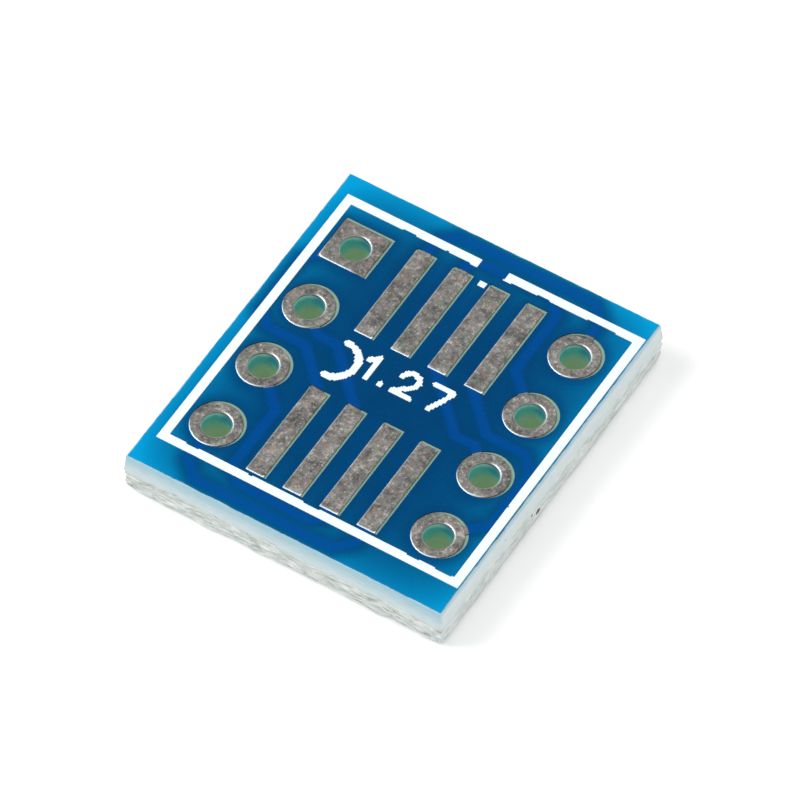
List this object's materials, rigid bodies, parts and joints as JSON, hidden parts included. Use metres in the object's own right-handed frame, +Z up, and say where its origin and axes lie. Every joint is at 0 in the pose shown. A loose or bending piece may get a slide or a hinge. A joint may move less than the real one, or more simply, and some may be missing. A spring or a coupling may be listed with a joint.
{
  "type": "smd to dip adapter board",
  "caption": "Small square-cornered two-sided circuit board that brings the leads of a surface-mount chip out to two rows of plated header holes.",
  "frame": {"origin": "middle of the board's outline, at the lowest point of its underside", "axes": "+X across the two rows of holes, towards pins 5 to 8; +Y along the rows, towards the pin 1 end; +Z up, out of the face with the wide pads"},
  "size_m": [0.011, 0.0124, 0.0016],
  "materials": {
    "laminate": "pale translucent glass and epoxy, scored and snapped at the edges",
    "copper": "copper under the mask, and tinned where it is bare: on the lands and in the holes",
    "tin": "mottled hot-air levelled solder",
    "solder_mask": "glossy blue",
    "legend_ink": "matt white, printed in small dots"
  },
  "bodies": {
    "root": {"laminate": "laminate", "conductor_1": "copper", "conductor_2": "copper", "conductor_3": "copper", "conductor_4": "copper", "conductor_5": "copper", "conductor_6": "copper", "conductor_7": "copper", "conductor_8": "copper", "pad_tin_1": "tin", "pad_tin_2": "tin", "pad_tin_3": "tin", "pad_tin_4": "tin", "pad_tin_5": "tin", "pad_tin_6": "tin", "pad_tin_7": "tin", "pad_tin_8": "tin", "fine_pad_tin_1": "tin", "fine_pad_tin_2": "tin", "fine_pad_tin_3": "tin", "fine_pad_tin_4": "tin", "fine_pad_tin_5": "tin", "fine_pad_tin_6": "tin", "fine_pad_tin_7": "tin", "fine_pad_tin_8": "tin", "top_solder_mask": "solder_mask", "bottom_solder_mask": "solder_mask", "legend_frame": "legend_ink", "legend_notch_dot": "legend_ink", "legend_crescent": "legend_ink"}
  },
  "joints": []
}
